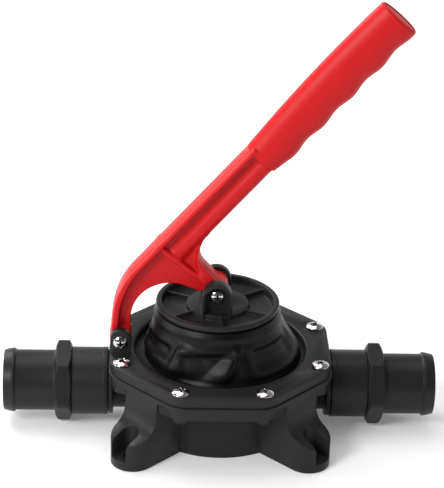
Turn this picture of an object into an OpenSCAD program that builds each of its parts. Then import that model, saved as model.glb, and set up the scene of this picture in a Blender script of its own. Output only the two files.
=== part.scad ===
// Manual bilge pump: a lever works a rubber diaphragm over a bowl with a flap valve at each port.
// X runs along the ports, Z is up, and the origin is on the ground under the middle of the bowl.

/* [Bowl and flange] */
// Outer radius of the bowl
bowl_r = 50; // [48:0.5:51]
// Inner radius of the bowl
chamber_r = 46.5; // [42:0.5:46.5]
// Thickness of the bowl's floor
floor_t = 5; // [3:0.5:7]
// Height of the joint between the body and the clamp ring
joint_z = 45.5; // [44:0.5:50]
// Thickness of the body's screw flange
flange_t = 9; // [6:0.5:11]
// Height of the flange's upper band, and how far the skirt under it stands back
flange_band = 3.6; // [2.5:0.1:5]
skirt_setback = 1.2; // [0.5:0.1:2]
// Radius of the circle on which the clamp screws stand
screw_circle_r = 66.2; // [65:0.1:68]
// Distance from a clamp screw's line to the flange's flat, and radius of the flange's corners
flat_land = 8; // [7:0.1:9]
corner_r = 18; // [10:0.5:24]
// Depth and radius of the boss under each clamp screw
boss_h = 3; // [2:0.5:4]
boss_r = 5; // [4.5:0.5:6]

/* [Clamp ring] */
// Thickness of the clamp ring
ring_t = 6.5; // [5:0.5:8]
// Radius of the ring's opening
ring_open_r = 53.5; // [52:0.5:54.5]
// How far the ring's edge stands back from the flange's edge
ring_setback = 0.8; // [0.4:0.1:1.5]
// Width of the bevel round the ring's opening
ring_bevel = 1.2; // [0.5:0.1:2]

/* [Feet] */
// Width of a foot
foot_w = 27; // [24:0.5:30]
// Distance from the pump's axis to a foot's screw hole, along X and along Y
foot_hole_xy = 56; // [54:0.5:58]
// Radius of the screw hole in a foot
foot_hole_r = 3.2; // [2.5:0.1:4]
// Thickness of a foot's sole
sole_t = 5.5; // [4:0.5:7]
// Width of the screwdriver pocket over the hole
pocket_w = 12; // [10:0.5:14]
// Height of the foot's outer end, and rise of its slope from there to the flange
foot_end_h = 12; // [10:0.5:14]
foot_rise = 12; // [10:0.5:14]
// How far a foot reaches beyond its screw hole
foot_reach = 10.2; // [9:0.2:12]

/* [Ports] */
// Height of the port axis
port_z = 25.8; // [24:0.2:27]
// Radius and bore radius of the body's port necks
neck_r = 16.6; // [16:0.1:17.2]
neck_bore_r = 14.5; // [13.5:0.1:14.6]
// Radius and thickness of the port flange, and how far its face stands proud of the screw flange
port_flange_r = 20.5; // [19.5:0.1:21.5]
port_flange_t = 2.7; // [2:0.1:4]
port_stand = 0.15; // [0.1:0.05:1.5]
// Length of the nipple that stands out of the port flange
nipple_len = 3.7; // [3:0.1:5]
// Thickness of the port gasket
gasket_t = 0.6; // [0.5:0.1:1]

/* [Valve housings and hose tails] */
// Outer and inner radius of a valve housing
housing_r = 21.3; // [20.4:0.1:21.6]
housing_bore_r = 17.5; // [17.2:0.1:18]
// Length of a valve housing
housing_len = 22.8; // [22:0.2:26]
// Width of the hexagonal collar across its flats, and its length
hex_af = 45; // [43.5:0.5:46]
hex_len = 9.95; // [8:0.05:12]
// Reach of the bevel at the collar's corners, inwards and along the port
hex_bevel = 3.5; // [1:0.1:4]
hex_bevel_len = 1.7; // [0.5:0.1:3]
// Turn of the collar's corners from plumb, at the inlet and at the outlet
hex_turn_in = 18; // [10:0.5:50]
hex_turn_out = 35; // [10:0.5:50]
// Outer radius, lip radius and bore radius of a hose tail
tail_r = 19; // [18:0.1:19.5]
lip_r = 20.1; // [19.8:0.1:21]
tail_bore_r = 14.5; // [13.5:0.1:15]
// Length of the plain tail and of its lip
tail_len = 25.55; // [20:0.05:32]
lip_len = 6.9; // [5:0.1:9]
// Width of the lip's crest, and how much the lip narrows from it to its end
lip_crest = 1.5; // [1:0.1:3]
lip_taper = 1.2; // [0.8:0.1:2]
// Length of the spigot that screws into the housing
spigot_len = 6.7; // [6:0.1:7.5]
// Radius of the O-ring's section
oring_r = 0.95; // [0.8:0.05:1]

/* [Flap valves] */
// Thickness and opening radius of a valve seat
seat_t = 3; // [2.5:0.1:3.5]
seat_hole_r = 10.5; // [9.5:0.1:11]
// Radius and thickness of a rubber flap
flap_r = 12.5; // [12:0.1:12.8]
flap_t = 2; // [1.6:0.1:2.4]
// Height of the flap's hinge over the port axis
hinge_rise = 13.6; // [13.2:0.1:14]
// Radius of the flap's hinge pin
hinge_pin_r = 0.8; // [0.6:0.05:1]
// Width of the flap's knuckle
knuckle_w = 9; // [7:0.5:10]

/* [Diaphragm] */
// Thickness of the rubber
rubber_t = 2.2; // [1.8:0.1:2.5]
// Gap between the ring's opening and the dome, and how far the dome leans sideways there
dome_gap = 5.4; // [4:0.1:6]
dome_lean = 1.6; // [0:0.1:2.4]
// How far the clamped rim reaches beyond the ring's opening
rim_lap = 5.3; // [4:0.1:6]

/* [Diaphragm plate] */
// Sideways place of the plate's axis
plate_x = -2.3; // [-4:0.1:0]
// Radius of the plate and of the foot under its rim
plate_r = 38.3; // [37:0.1:39]
plate_foot_r = 36.1; // [35:0.1:36.4]
// Height of the rim's top and of the plate's underside
plate_top_z = 84; // [83:0.1:86]
plate_base_z = 77; // [76.5:0.1:78]
// Width of the rim, thickness of the floor, and radius and top of the hub
rim_w = 3.4; // [2.5:0.1:4]
plate_floor_t = 2.2; // [1.8:0.1:3]
hub_r = 19.2; // [18:0.1:21]
hub_top_z = 82.4; // [81.5:0.1:83]
// Number, width and turn of the spokes
spoke_count = 6; // [4:1:8]
spoke_w = 1.8; // [1.2:0.1:2.4]
spoke_turn = 34; // [0:1:60]
// Radius and thickness of the backing plate, and radius of its boss through the diaphragm
backing_r = 30; // [26:0.5:32]
backing_t = 4; // [3:0.5:5]
backing_boss_r = 17.5; // [16:0.5:20]

/* [Lever and pivots] */
// Place of the lever's fixed pivot
pivot_x = -62.2; // [-62.6:0.1:-61.8]
pivot_z = 60.2; // [59.8:0.1:61]
// Place of the pivot between the lever and the diaphragm plate
link_x = -3.2; // [-4.2:0.1:-2.2]
link_z = 92.9; // [92.4:0.1:94]
// Radius of the pivot pins and running clearance in their bores
pin_r = 2.5; // [2:0.1:2.8]
pin_fit = 0.05; // [0.02:0.01:0.08]
// Width of the lever's flanges, and gap to the ears at each side
lever_w = 17; // [15:0.5:18]
ear_gap = 0.3; // [0.2:0.05:0.5]
// Thickness of a clevis ear
ear_t = 5; // [4:0.1:6]
// Half width of the ring's ears and of the plate's ears
ring_ear_r = 6.3; // [5.8:0.1:6.6]
plate_ear_r = 9.3; // [8.5:0.1:9.6]
// Width and height of the raised border round the plate's front ear
border_w = 1.9; // [1.5:0.1:2.6]
border_h = 4.2; // [3:0.1:4.6]
// Distance from the fixed pivot up to the middle of the ring ear's round top
ring_ear_rise = 2.1; // [1:0.1:3]
// Radius of the lever's eyes
eye_r = 6.3; // [5.8:0.1:6.8]
link_eye_r = 7.2; // [7:0.1:8]
// Play of the pin in the slotted link eye: along the lever, and to each side
slot_reach = 1.3; // [1.2:0.1:1.6]
slot_side = 1.2; // [1.1:0.1:1.3]
// Slope of the lever's arm
arm_angle = 49.3; // [46:0.1:52]
// Height of the arm's back and of its lower edge over the fixed pivot, square to the arm
arm_back = 24.3; // [23:0.1:26]
arm_low = 6.1; // [5:0.1:8]
// Height, half width and corner radius of the rounded bar along the arm's lower edge
bar_h = 10.4; // [10:0.1:12]
bar_half_w = 7.4; // [6:0.1:8]
bar_corner_r = 4.8; // [2:0.1:5]
// Thickness of the lever's back flange and of its web
back_t = 3.1; // [2.5:0.1:4]
web_t = 7; // [5:0.5:9]
// Thickness of the rib that runs into the link eye
rib_t = 2.6; // [2:0.1:3.5]

/* [Grip] */
// Start and end of the grip, measured from the fixed pivot along the arm
grip_start = 145; // [140:1:150]
grip_end = 265; // [250:1:280]
// Half width of the grip across the lever
grip_half_w = 9.2; // [8.6:0.1:11]
// Height of the grip's back at its start and at its crest, and of its underside
grip_back_start = 26.5; // [25:0.1:27]
grip_back = 29.8; // [28.5:0.1:30.5]
grip_low = 2; // [1:0.1:3.5]
// Distance from the grip's start to the crest of its back
grip_crest = 80; // [60:1:100]
// Distance from the grip's start to the crest of its first finger wave, and the waves' pitch and depth
first_wave = 16; // [8:0.5:24]
finger_pitch = 25; // [22:0.5:27]
finger_depth = 0.8; // [0.5:0.1:1.6]
// Depth and rim width of the recess that holds the end cap
cap_recess = 2.4; // [1.5:0.1:4]
cap_rim = 1.9; // [1.2:0.1:3]

/* [Fasteners] */
// Head radius, head height and shank radius of the clamp screws
screw_head_r = 5.5; // [5:0.1:6]
screw_head_h = 2.7; // [2:0.1:3.5]
screw_shank_r = 2.2; // [1.8:0.1:2.4]
// Length of a clamp screw under its head
screw_len = 16; // [12:0.5:18]
// Width and depth of the cross recess in the heads of screws and pins
cross_w = 1.1; // [0.8:0.1:1.4]
cross_depth = 1.5; // [1:0.1:1.8]
// Head radius and height of the pivot pins
pin_head_r = 4.6; // [4.2:0.1:5]
pin_head_h = 2.6; // [2:0.1:3.5]
// Width across the flats and thickness of the pivot nuts
nut_af = 8; // [7:0.5:9]
nut_t = 4; // [3:0.2:5]

/* [Hidden] */
$fn = 64;
screw_count = 8;     // clamp screws, one at each corner of the octagon
cut = 1;             // how far a cutting shape runs past the face that it cuts
fit = 0.1;           // radial gap between pieces that are pushed together and don't move
soft_gap = 0.3;      // gap between a curved rubber face and a piece that moves against it
flap_gap = 0.15;     // gap between a closed flap and its seat

BLACK = "#2b2c2e";
RUBBER = "#1a1a1b";
RED = "#d3222a";
STEEL = "#c9ccd0";

ring_top = joint_z + ring_t;
flange_bottom = joint_z - flange_t;
flange_flat = screw_circle_r * cos(180 / screw_count) + flat_land;
port_face_x = flange_flat + port_stand;
ear_in = lever_w / 2 + ear_gap;
ear_out = ear_in + ear_t;
screw_angles = [for (i = [0:screw_count - 1]) (i + 0.5) * 360 / screw_count];

// Points of an arc from angle a to angle b
function arc(centre, r, a, b, n = 10) =
    [for (i = [0:n]) let (t = a + (b - a) * i / n) centre + r * [cos(t), sin(t)]];

// Where a line through p at angle a meets a line through q at angle b
function meet(p, a, q, b) =
    let (d = q - p, k = (d.x * sin(b) - d.y * cos(b)) / sin(b - a)) p + k * [cos(a), sin(a)];

// Outline with rounded corners, from corners given as [x, y, radius]
function rounded(corners, n = 8) = [
    for (i = [0:len(corners) - 1])
        let (
            count = len(corners),
            here = corners[i],
            c = [here.x, here.y],
            to_last = corners[(i + count - 1) % count] - here,
            to_next = corners[(i + 1) % count] - here,
            u = [to_last.x, to_last.y] / norm([to_last.x, to_last.y]),
            v = [to_next.x, to_next.y] / norm([to_next.x, to_next.y]),
            half = acos(u * v) / 2,
            middle = c + (u + v) / norm(u + v) * here.z / sin(half),
            turn = 90 - half,
            out = atan2(-(u + v).y, -(u + v).x),
            side = sign(u.x * v.y - u.y * v.x)
        )
        each here.z == 0 ? [c] : arc(middle, here.z, out + side * turn, out - side * turn, n)
];

// ---------------------------------------------------------------- shared shapes

// The octagon of the flange and the ring, with round corners, smaller all round by the setback
module octagon(setback) {
    half = 180 / screw_count;
    r = corner_r - setback;
    centre_r = (flange_flat - corner_r) / cos(half);
    polygon([for (a = screw_angles, s = [-half, half])
        centre_r * [cos(a), sin(a)] + r * [cos(a + s), sin(a + s)]]);
    for (a = screw_angles) rotate(a) translate([centre_r, 0]) circle(r);
}

// Clamp screw holes through the flange and the ring
module screw_holes(r, z0, z1) {
    for (a = screw_angles)
        rotate(a) translate([screw_circle_r, 0, z0]) cylinder(r = r, h = z1 - z0);
}

// Turns a shape that is drawn along +Z so that it lies along +X or, for side -1, along -X
module along_port(side) {
    translate([0, 0, port_z]) rotate([0, side * 90, 0]) children();
}

// A ring with a square section, drawn along +Z
module tube(outer, inner, z0, z1) {
    translate([0, 0, z0]) difference() {
        cylinder(r = outer, h = z1 - z0);
        translate([0, 0, -cut]) cylinder(r = inner, h = z1 - z0 + 2 * cut);
    }
}

// Domed screw head on the plane z = 0, drawn along +Z
module dome_head(r, h) {
    edge = h * 0.35;
    ball = (r * r + (h - edge) * (h - edge)) / (2 * (h - edge));
    rotate_extrude() polygon(concat(
        [[0, 0], [r, 0], [r, edge]],
        arc([0, h - ball], ball, asin((ball - h + edge) / ball), 90, 6)));
}

// Cross recess to be cut from the top of a head of height h and radius r
module cross_recess(r, h) {
    for (a = [0, 90]) rotate(a)
        translate([-r * 0.55, -cross_w / 2, h - cross_depth]) cube([r * 1.1, cross_w, cross_depth + cut]);
}

// Hexagonal nut round the Y axis, from y to y + t
module nut(y, t, bore) {
    rotate([-90, 0, 0]) translate([0, 0, y]) difference() {
        cylinder(r = nut_af / 2 / cos(30), h = t, $fn = 6);
        translate([0, 0, -cut]) cylinder(r = bore, h = t + 2 * cut);
    }
}

// A pivot pin along Y with a domed head in front of the front ear
module pivot_pin() {
    end_y = ear_out + nut_t + 0.5;
    rotate([90, 0, 0]) {
        translate([0, 0, -end_y]) cylinder(r = pin_r, h = end_y + ear_out);
        translate([0, 0, ear_out]) difference() {
            dome_head(pin_head_r, pin_head_h);
            cross_recess(pin_head_r, pin_head_h);
        }
    }
}

// ---------------------------------------------------------------- body

foot_end_r = foot_w / 2;
foot_end_u = foot_hole_xy * sqrt(2) + foot_reach - foot_end_r;
foot_hole_u = foot_hole_xy * sqrt(2);

// A foot drawn along +X: a buttress that falls from the flange and sweeps out to a rounded end
module foot() {
    end = foot_end_u + foot_end_r;
    top = joint_z - flange_band + 0.5;
    intersection() {
        rotate([90, 0, 0]) linear_extrude(foot_w, center = true) polygon(rounded([
            [0, 0, 0],
            [end, 0, 0],
            [end, foot_end_h, 0],
            [end - 3, foot_end_h + foot_rise * 0.45, 5],
            [flange_flat + 1, foot_end_h + foot_rise, 12],
            [flange_flat, top, 0],
            [0, top, 0]]));
        union() {
            translate([0, -foot_w / 2, -cut]) cube([foot_end_u, foot_w, joint_z]);
            translate([foot_end_u, 0, -cut]) cylinder(r = foot_end_r, h = joint_z);
        }
    }
}

// The pocket for the screwdriver over a foot's hole, open at the outer end, and the hole
module foot_cut() {
    translate([foot_hole_u, 0, sole_t]) {
        cylinder(r = pocket_w / 2, h = joint_z);
        translate([0, -pocket_w / 2, 0]) cube([foot_w, pocket_w, joint_z]);
    }
    translate([foot_hole_u, 0, -cut]) cylinder(r = foot_hole_r, h = sole_t + 2 * cut);
}

module pump_body() {
    flare_z = flange_bottom - 3;
    flare_r = ring_open_r - 1;
    color(BLACK) difference() {
        union() {
            cylinder(r = bowl_r, h = joint_z, $fn = 96);
            translate([0, 0, flange_bottom]) linear_extrude(flange_t) octagon(skirt_setback);
            translate([0, 0, joint_z - flange_band]) linear_extrude(flange_band) octagon(0);
            screw_holes(boss_r, flange_bottom - boss_h, flange_bottom + cut);
            for (a = [45:90:315]) rotate(a) foot();
            for (side = [-1, 1]) along_port(side) {
                cylinder(r = neck_r, h = port_face_x - cut);
                translate([0, 0, port_face_x - port_flange_t])
                    cylinder(r = port_flange_r, h = port_flange_t);
                translate([0, 0, port_face_x - cut])
                    cylinder(r = housing_bore_r - fit, h = nipple_len + cut);
            }
        }
        translate([0, 0, floor_t]) cylinder(r = chamber_r, h = joint_z, $fn = 96);
        translate([0, 0, flare_z])
            cylinder(r1 = chamber_r, r2 = flare_r, h = joint_z - flare_z + 0.01, $fn = 96);
        for (side = [-1, 1]) along_port(side)
            cylinder(r = neck_bore_r, h = port_face_x + nipple_len + cut);
        screw_holes(screw_shank_r + pin_fit, ring_top - screw_len - 1, joint_z + cut);
        for (a = [45:90:315]) rotate(a) foot_cut();
        // the port flanges end level with the joint
        translate([-2 * bowl_r, -2 * bowl_r, joint_z]) cube([4 * bowl_r, 4 * bowl_r, joint_z]);
    }
}

// ---------------------------------------------------------------- clamp ring

// One clevis ear in the XZ plane, from y0 to y0 + t: round top at [x, top_z], foot at base_z
module ear(x, top_z, r, base_z, y0, t) {
    translate([0, y0 + t, 0]) rotate([90, 0, 0]) linear_extrude(t) {
        translate([x, top_z]) circle(r);
        translate([x - r, base_z]) square([2 * r, top_z - base_z]);
    }
}

module clamp_ring() {
    rim_r = ring_open_r + rim_lap;
    color(BLACK) difference() {
        union() {
            translate([0, 0, joint_z]) linear_extrude(ring_t) octagon(ring_setback);
            for (y0 = [-ear_out, ear_in])
                ear(pivot_x, pivot_z + ring_ear_rise, ring_ear_r, joint_z + cut, y0, ear_t);
        }
        translate([0, 0, joint_z - cut]) cylinder(r = ring_open_r, h = ring_t + 2 * cut, $fn = 96);
        translate([0, 0, ring_top - ring_bevel])
            cylinder(r1 = ring_open_r, r2 = ring_open_r + ring_bevel + cut, h = ring_bevel + cut, $fn = 96);
        translate([0, 0, joint_z - cut]) cylinder(r = rim_r + fit, h = rubber_t + cut, $fn = 96);
        screw_holes(screw_shank_r + pin_fit, joint_z - cut, ring_top + cut);
        translate([pivot_x, 0, pivot_z]) rotate([90, 0, 0])
            cylinder(r = pin_r + pin_fit, h = 4 * ear_out, center = true);
    }
}

module clamp_screws() {
    color(STEEL) for (a = screw_angles) rotate(a) translate([screw_circle_r, 0, ring_top]) {
        translate([0, 0, -screw_len]) cylinder(r = screw_shank_r, h = screw_len);
        difference() {
            dome_head(screw_head_r, screw_head_h);
            cross_recess(screw_head_r, screw_head_h);
        }
    }
}

// ---------------------------------------------------------------- diaphragm and its plates

lip_h = 2.6;             // height of the diaphragm's lip round the plate's foot
web_z = plate_base_z - rubber_t;
web_hole_r = backing_boss_r + soft_gap;

// Swell of the dome from its neck, 0, to its foot, 1, at shares of the height between them
swell = [[0.07, 1], [0.14, 0.97], [0.34, 0.86], [0.56, 0.52], [0.78, 0.18], [0.92, 0.04]];

// Section of the diaphragm as [radius, height]: the dome's outside from the rim up, then its inside down
function dome_section() =
    let (
        foot = ring_open_r - dome_gap,
        neck = plate_r + 1.3,
        low = joint_z + rubber_t,
        lip_inside = plate_foot_r + soft_gap,
        outside = [for (k = swell) [neck + (foot - neck) * k[1], low + (web_z - low) * k[0]]],
        inside = [for (i = [len(outside) - 1:-1:0]) outside[i] - rubber_t * [0.9, 0.4]]
    )
    concat(
        [[ring_open_r + rim_lap, joint_z], [ring_open_r + rim_lap, low], [foot + 1.8, low]],
        outside,
        [[neck, plate_base_z - 1.2], [plate_r + 0.2, plate_base_z + 0.8],
         [plate_r - 0.2, plate_base_z + lip_h],
         [lip_inside, plate_base_z + lip_h], [lip_inside, plate_base_z],
         [web_hole_r, plate_base_z], [web_hole_r, web_z], [lip_inside - 1, web_z]],
        inside,
        [[foot - 0.9, joint_z]]);

// Sideways place of the dome's ring at height z: it leans at its foot and meets the plate at its top
function dome_shift(z) =
    let (low = joint_z + rubber_t, k = (z - low - 1) / (web_z - low - 1))
    z <= low ? 0 : z >= web_z ? plate_x : dome_lean + (plate_x - dome_lean) * k;

module diaphragm() {
    sides = 56;
    section = dome_section();
    count = len(section);
    points = [for (j = [0:sides - 1], p = section)
        let (a = 360 * j / sides) [dome_shift(p.y) + p.x * cos(a), p.x * sin(a), p.y]];
    faces = [for (j = [0:sides - 1], i = [0:count - 1])
        let (here = j * count, next = (j + 1) % sides * count, k = (i + 1) % count)
        [here + i, here + k, next + k, next + i]];
    color(RUBBER) polyhedron(points, faces, convexity = 6);
}

// The two ears of the plate's clevis; the front one has a raised border that runs down to the floor
module plate_ears() {
    border_foot_z = plate_base_z + cut;
    for (y0 = [-ear_out, ear_in])
        ear(link_x, link_z, plate_ear_r, hub_top_z - cut, y0, ear_t);
    difference() {
        ear(link_x, link_z, plate_ear_r, border_foot_z, -ear_out - border_h, border_h);
        ear(link_x, link_z, plate_ear_r - border_w, border_foot_z - cut, -ear_out - border_h - cut,
            border_h + 2 * cut);
    }
}

module diaphragm_plate() {
    floor_top = plate_base_z + plate_floor_t;
    color(BLACK) difference() {
        translate([plate_x, 0, 0]) union() {
            rotate_extrude($fn = 96) polygon([
                [0, plate_base_z], [plate_foot_r, plate_base_z], [plate_foot_r, plate_top_z - 3.6],
                [plate_r, plate_top_z - 2.8], [plate_r, plate_top_z - 0.6], [plate_r - 0.6, plate_top_z],
                [plate_r - rim_w, plate_top_z], [plate_r - rim_w - 0.8, floor_top],
                [hub_r + 0.6, floor_top], [hub_r, hub_top_z], [0, hub_top_z]]);
            for (i = [0:spoke_count - 1]) rotate(spoke_turn + i * 360 / spoke_count)
                translate([hub_r - 1, -spoke_w / 2, plate_base_z + 0.5])
                    cube([plate_r - rim_w - hub_r + 1, spoke_w, hub_top_z - plate_base_z - 0.9]);
            translate([-plate_x, 0, 0]) plate_ears();
        }
        translate([link_x, 0, link_z]) rotate([90, 0, 0])
            cylinder(r = pin_r + pin_fit, h = 4 * ear_out, center = true);
        backing_screw_places() translate([0, 0, plate_base_z - cut])
            cylinder(r = screw_shank_r + pin_fit, h = backing_grip + 0.5 + cut);
    }
}

// The four screws that draw the backing plate up to the diaphragm plate, and their grip in the plate
backing_grip = 4;
module backing_screw_places() {
    for (a = [45:90:315]) translate([plate_x, 0, 0]) rotate(a)
        translate([backing_boss_r - 5.5, 0, 0]) children();
}

module backing_plate() {
    low_z = web_z - backing_t;
    color(BLACK) difference() {
        translate([plate_x, 0, 0]) rotate_extrude($fn = 96) polygon([
            [0, low_z], [backing_r - 3, low_z], [backing_r, low_z + 2], [backing_r, web_z],
            [backing_boss_r, web_z], [backing_boss_r, plate_base_z], [0, plate_base_z]]);
        backing_screw_places() translate([0, 0, low_z - cut])
            cylinder(r = screw_shank_r + pin_fit, h = backing_t + rubber_t + 2 * cut);
    }
}

module backing_screws() {
    head_z = web_z - backing_t;
    color(STEEL) backing_screw_places() translate([0, 0, head_z]) {
        cylinder(r = screw_shank_r, h = backing_t + rubber_t + backing_grip);
        mirror([0, 0, 1]) difference() {
            dome_head(4, 2);
            cross_recess(3.4, 2);
        }
    }
}

// ---------------------------------------------------------------- lever

pivot = [pivot_x, pivot_z];
link = [link_x, link_z];
arm_dir = [cos(arm_angle), sin(arm_angle)];
arm_up = [-sin(arm_angle), cos(arm_angle)];
// A point of the lever, s along the arm and t square to it, from the fixed pivot
function on_arm(s, t) = pivot + s * arm_dir + t * arm_up;

leg_lean = 85;          // slope of the front leg's outer edge
neck_slope = -48.1;     // slope of the edge that falls from the arm to the link eye
back_corner = meet(pivot - [eye_r, 0], leg_lean, on_arm(0, arm_back), arm_angle);
neck_corner = meet(on_arm(0, arm_low), arm_angle, link + [3.2, 3.5], neck_slope);
rib_angle = 140.7;      // direction of the rib from the link eye up to the back flange
rib_len = norm(back_corner - link);
shoulder_r = 52;        // radius of the bend between the front leg and the arm
bar_start = 82;         // where the arm's lower edge has no more lip, measured along the arm

// Side view of the lever from the fixed pivot to the grip, with the arch between its two legs
module lever_outline() {
    polygon(rounded([
        [pivot.x - eye_r, pivot.y, 0],
        [pivot.x + eye_r, pivot.y, 0],
        [pivot.x + eye_r - 0.6, link.y - 2.6, 24],
        [link.x - 27.8, link.y + 5.1, 22],
        [link.x - 6.3, link.y - 3.1, 0],
        [link.x + 3.2, link.y + 3.5, 0],
        [neck_corner.x, neck_corner.y, 15],
        [on_arm(grip_start + 3, arm_low).x, on_arm(grip_start + 3, arm_low).y, 0],
        [on_arm(grip_start + 3, arm_back).x, on_arm(grip_start + 3, arm_back).y, 0],
        [back_corner.x, back_corner.y, shoulder_r]]));
    translate(pivot) circle(eye_r);
    translate(link) circle(link_eye_r);
}

// What lies between the back flange, the rib, the link leg's lip and the eyes, open below the arm
module lever_pockets() {
    round_r = 1.6;
    eye_land = 0.5;
    offset(r = round_r) offset(delta = -round_r) difference() {
        offset(delta = -back_t) union() {
            lever_outline();
            polygon([pivot + [0, eye_r], pivot + [0, -40], link + [14, -40], link + [14, -6],
                     link + [-6, 0], link + [-28, 8]]);
            polygon([for (p = [[bar_start, 2], [grip_start + 5, 2], [grip_start + 5, -10], [bar_start, -10]])
                on_arm(p.x, arm_low + p.y)]);
        }
        translate(pivot) circle(eye_r + eye_land);
        translate(link) circle(link_eye_r + eye_land);
        translate(link) rotate(rib_angle) translate([0, -rib_t / 2]) square([rib_len, rib_t]);
    }
}

// Rounded bar along the arm's lower edge, from the rib to the grip
module lever_bar() {
    start = on_arm(0, arm_low);
    reach = 2 * grip_start;
    intersection() {
        translate([start.x, 0, start.y]) rotate([0, 90 - arm_angle, 0])
            linear_extrude(grip_start + 3) polygon(rounded([
                [0, -bar_half_w, bar_corner_r], [0, bar_half_w, bar_corner_r],
                [-bar_h, bar_half_w, bar_corner_r], [-bar_h, -bar_half_w, bar_corner_r]]));
        rotate([90, 0, 0]) linear_extrude(2 * lever_w, center = true)
            translate(link) rotate(rib_angle) translate([-reach, -reach]) square([2 * reach, reach]);
    }
}

// Heights of the grip's back and of its waved underside at a distance s along the arm
function grip_top(s) =
    grip_back - (grip_back - grip_back_start) * pow((s - grip_start) / grip_crest - 1, 2);
function grip_under(s) =
    grip_low - finger_depth * cos(360 * (s - grip_start - first_wave) / finger_pitch);

// Oval sections of the grip, lofted from start to end
module grip() {
    stations = 40;
    sides = 28;
    points = [for (i = [0:stations], j = [0:sides - 1])
        let (
            s = grip_start + (grip_end - grip_start) * i / stations,
            middle = (grip_top(s) + grip_under(s)) / 2,
            half = (grip_top(s) - grip_under(s)) / 2,
            a = 360 * j / sides,
            p = on_arm(s, middle + half * cos(a))
        ) [p.x, grip_half_w * sin(a), p.y]];
    rings = [for (i = [0:stations - 1], j = [0:sides - 1])
        let (a = i * sides + j, b = i * sides + (j + 1) % sides) [a, b, b + sides, a + sides]];
    first = [for (j = [sides - 1:-1:0]) j];
    last = [for (j = [0:sides - 1]) stations * sides + j];
    polyhedron(points, concat(rings, [first, last]), convexity = 4);
}

cap_mid = (grip_top(grip_end) + grip_under(grip_end)) / 2;
cap_half = (grip_top(grip_end) - grip_under(grip_end)) / 2 - cap_rim;

// Oval plug in the plane square to the arm, from distance s0 to s1, smaller than the grip by the rim
module cap_shape(s0, s1, gap) {
    p = on_arm(s0, cap_mid);
    translate([p.x, 0, p.y]) rotate([0, 90 - arm_angle, 0]) linear_extrude(s1 - s0)
        scale([(cap_half - gap) / 10, (grip_half_w - cap_rim - gap) / 10]) circle(10, $fn = 48);
}

module lever() {
    color(RED) difference() {
        union() {
            rotate([90, 0, 0]) linear_extrude(lever_w, center = true) difference() {
                lever_outline();
                lever_pockets();
            }
            rotate([90, 0, 0]) linear_extrude(web_t, center = true) lever_outline();
            lever_bar();
            grip();
        }
        translate([pivot_x, 0, pivot_z]) rotate([90, 0, 0])
            cylinder(r = pin_r + pin_fit, h = 2 * lever_w, center = true);
        // the link eye is slotted along the lever, so that the pin can slide while the plate runs straight
        translate([link_x, 0, link_z]) rotate([90, 0, 0])
            rotate(atan2(link_z - pivot_z, link_x - pivot_x)) {
                for (side = [-1, 1]) translate([side * slot_reach, 0, 0])
                    cylinder(r = pin_r + slot_side, h = 2 * lever_w, center = true);
                cube([2 * slot_reach, 2 * (pin_r + slot_side), 2 * lever_w], center = true);
            }
        cap_shape(grip_end - cap_recess, grip_end + cut, 0);
    }
}

module grip_cap() {
    color(RED) cap_shape(grip_end - cap_recess, grip_end - 0.6, fit);
}

// ---------------------------------------------------------------- pivots

module lever_pivot_pin() {
    color(STEEL) translate([pivot_x, 0, pivot_z]) pivot_pin();
}

module lever_pivot_nut() {
    color(STEEL) translate([pivot_x, 0, pivot_z]) nut(ear_out, nut_t, pin_r + pin_fit);
}

module link_pin() {
    color(STEEL) translate([link_x, 0, link_z]) pivot_pin();
}

module link_nut() {
    color(STEEL) translate([link_x, 0, link_z]) nut(ear_out, nut_t, pin_r + pin_fit);
}

// ---------------------------------------------------------------- ports, along +Z from the axis

housing_x = port_face_x + gasket_t;
collar_x = housing_x + housing_len;
tail_x = collar_x + hex_len;
lip_x = tail_x + tail_len;
tail_end = lip_x + lip_len;
nipple_end = port_face_x + nipple_len;
spigot_end = collar_x - spigot_len;
oring_x = collar_x - 2.2;
oring_mid = housing_bore_r - oring_r - pin_fit;

module gasket(side) {
    color(RUBBER) along_port(side) tube(port_flange_r - 1, housing_bore_r, port_face_x, housing_x);
}

module valve_housing(side) {
    color(BLACK) along_port(side) tube(housing_r, housing_bore_r, housing_x, collar_x);
}

module o_ring(side) {
    color(RUBBER) along_port(side) translate([0, 0, oring_x]) rotate_extrude($fn = 96)
        translate([oring_mid, 0]) circle(oring_r, $fn = 24);
}

module hose_tail(side, turn) {
    corner = hex_af / 2 / cos(30);
    past = 1.2;     // the bevel's cone runs on a little past the corners
    outer = corner + (past - 1) * hex_bevel;
    color(BLACK) along_port(side) difference() {
        union() {
            intersection() {
                translate([0, 0, collar_x]) rotate(turn) cylinder(r = corner, h = hex_len, $fn = 6);
                rotate_extrude($fn = 96) polygon([
                    [0, collar_x], [corner - hex_bevel, collar_x], [outer, collar_x + past * hex_bevel_len],
                    [outer, tail_x - past * hex_bevel_len], [corner - hex_bevel, tail_x], [0, tail_x]]);
            }
            rotate_extrude($fn = 96) polygon([
                [0, spigot_end], [housing_bore_r - fit, spigot_end],
                [housing_bore_r - fit, oring_x - oring_r - pin_fit],
                [oring_mid - oring_r - pin_fit, oring_x - oring_r - pin_fit],
                [oring_mid - oring_r - pin_fit, oring_x + oring_r + pin_fit],
                [housing_bore_r - fit, oring_x + oring_r + pin_fit],
                [housing_bore_r - fit, collar_x + cut], [tail_r, collar_x + cut], [tail_r, lip_x - 0.6],
                [lip_r, lip_x], [lip_r, lip_x + lip_crest], [lip_r - lip_taper, tail_end],
                [0, tail_end]]);
        }
        translate([0, 0, spigot_end - cut]) cylinder(r = tail_bore_r, h = tail_end);
    }
}

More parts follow.
